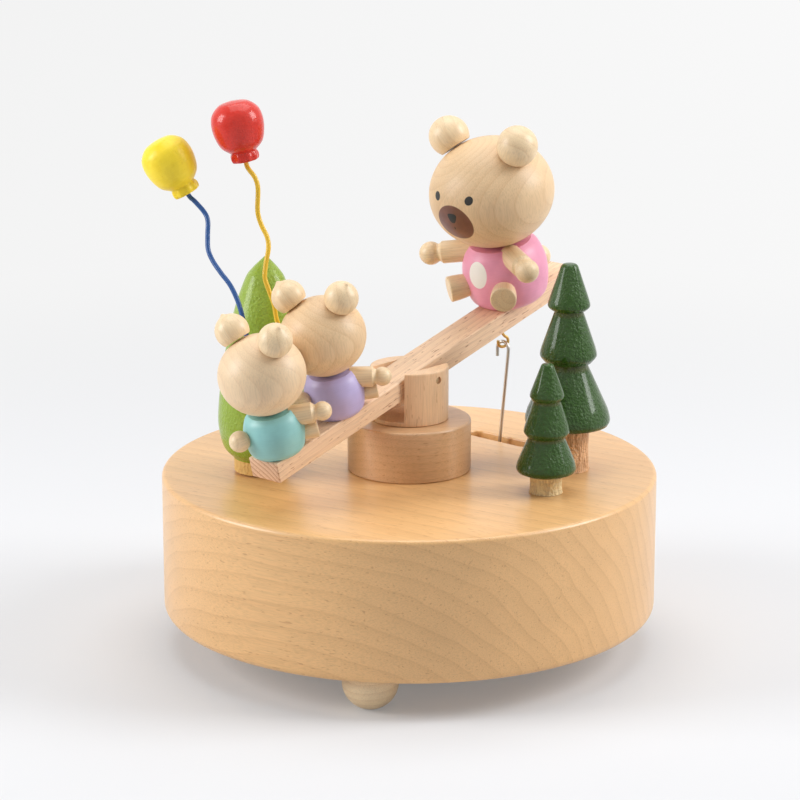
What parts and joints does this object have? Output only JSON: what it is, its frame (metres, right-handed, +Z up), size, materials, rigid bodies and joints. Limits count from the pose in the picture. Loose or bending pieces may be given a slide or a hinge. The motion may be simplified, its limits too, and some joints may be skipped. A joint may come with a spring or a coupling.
{
  "type": "music box",
  "caption": "Wooden music box: turned bears on a seesaw over a round drum, rocked by a spring movement inside, with small trees and two balloons.",
  "frame": {"origin": "on the floor plane under the drum's centre, midway between the three feet", "axes": "+Z up, +X along the plank towards its high end at rest, +Y across the plank on the leaf tree's side"},
  "size_m": [0.1156, 0.115, 0.1284],
  "materials": {
    "beech": "lacquered beech with fine flecks and flat-sawn figure",
    "dark_beech": "bare steamed beech, matt",
    "plank_beech": "bare pinkish beech, matt",
    "plywood": "birch plywood, matt",
    "bear_wood": "turned hardwood with a satin lacquer",
    "maple": "pale turned wood, satin",
    "steel": "bright drawn wire and stamped steel",
    "brass": "plain brass",
    "pink_paint": "pink paint on turned wood, with a white oval",
    "teal_paint": "teal paint on turned wood",
    "lilac_paint": "lilac paint on turned wood",
    "pine_paint": "glossy dark green paint, bare trunk",
    "leaf_paint": "leaf green paint over grain, bare foot",
    "yellow_paint": "glossy yellow enamel",
    "red_paint": "glossy red enamel",
    "blue_coat": "blue coated wire",
    "yellow_coat": "yellow coated wire"
  },
  "bodies": {
    "base": {"base_drum": "beech", "bottom_cover": "plywood", "cover_screw_1": "steel", "cover_screw_2": "steel", "cover_screw_3": "steel", "foot_1": "maple", "foot_2": "maple", "foot_3": "maple", "fulcrum_post": "dark_beech", "large_pine": "pine_paint", "leaf_tree": "leaf_paint", "movement_frame": "brass", "movement_screw_1": "steel", "movement_screw_2": "steel", "pedestal_disc": "dark_beech", "pivot_pin": "steel", "small_pine": "pine_paint", "steel_comb": "steel"},
    "seesaw": {"seesaw_plank": "plank_beech", "screw_eye": "brass", "big_bear_body": "pink_paint", "big_bear_head": "bear_wood", "big_bear_ear_left": "maple", "big_bear_ear_right": "maple", "big_bear_arm_left": "maple", "big_bear_arm_right": "maple", "big_bear_leg_left": "maple", "big_bear_leg_right": "maple", "big_bear_tail": "maple", "teal_bear_body": "teal_paint", "teal_bear_head": "bear_wood", "teal_bear_ear_left": "maple", "teal_bear_ear_right": "maple", "teal_bear_arm_left": "maple", "teal_bear_arm_right": "maple", "teal_bear_leg_left": "maple", "teal_bear_leg_right": "maple", "teal_bear_tail": "maple", "lilac_bear_body": "lilac_paint", "lilac_bear_head": "bear_wood", "lilac_bear_ear_left": "maple", "lilac_bear_ear_right": "maple", "lilac_bear_arm_left": "maple", "lilac_bear_arm_right": "maple", "lilac_bear_leg_left": "maple", "lilac_bear_leg_right": "maple", "lilac_bear_tail": "maple", "yellow_balloon": "yellow_paint", "red_balloon": "red_paint", "yellow_balloon_wire": "blue_coat", "red_balloon_wire": "yellow_coat"},
    "rod": {"connecting_rod": "steel"},
    "cylinder": {"tune_cylinder": "brass", "crank_disc": "steel"},
    "barrel": {"spring_barrel": "steel", "mainspring": "steel"},
    "governor": {"governor_wheel": "steel"},
    "fan": {"governor_fan": "steel"},
    "key": {"winding_key": "brass", "winding_arbor": "steel"}
  },
  "joints": [
    {"name": "seesaw_rock", "type": "hinge", "parent": "base", "child": "seesaw", "pos_m": [0, 0, 0.0639], "axis": [0, 1, 0], "range_deg": [-2, 22.2]},
    {"name": "rod_swing", "type": "hinge", "parent": "seesaw", "child": "rod", "pos_m": [0.03361, 0, 0.06556], "axis": [0, 1, 0], "range_deg": [-25.2, 2.3]},
    {"name": "cylinder_spin", "type": "hinge", "parent": "base", "child": "cylinder", "pos_m": [0, 0, 0.0235], "axis": [1, 0, 0], "continuous": true},
    {"name": "barrel_spin", "type": "hinge", "parent": "base", "child": "barrel", "pos_m": [-0.016, 0, 0.02], "axis": [0, 0, 1], "continuous": true},
    {"name": "governor_spin", "type": "hinge", "parent": "base", "child": "governor", "pos_m": [0.02, -0.0096, 0.0235], "axis": [1, 0, 0], "continuous": true},
    {"name": "fan_spin", "type": "hinge", "parent": "base", "child": "fan", "pos_m": [0.0218, -0.0161, 0.02], "axis": [0, 0, 1], "continuous": true},
    {"name": "key_turn", "type": "hinge", "parent": "base", "child": "key", "pos_m": [-0.016, 0, 0.005], "axis": [0, 0, 1], "continuous": true}
  ],
  "couplings": [
    {"joint": "rod_swing", "follows": "seesaw_rock", "ratio": -1.13},
    {"joint": "barrel_spin", "follows": "cylinder_spin", "ratio": 0.33333},
    {"joint": "governor_spin", "follows": "cylinder_spin", "ratio": -3},
    {"joint": "fan_spin", "follows": "cylinder_spin", "ratio": -36}
  ]
}
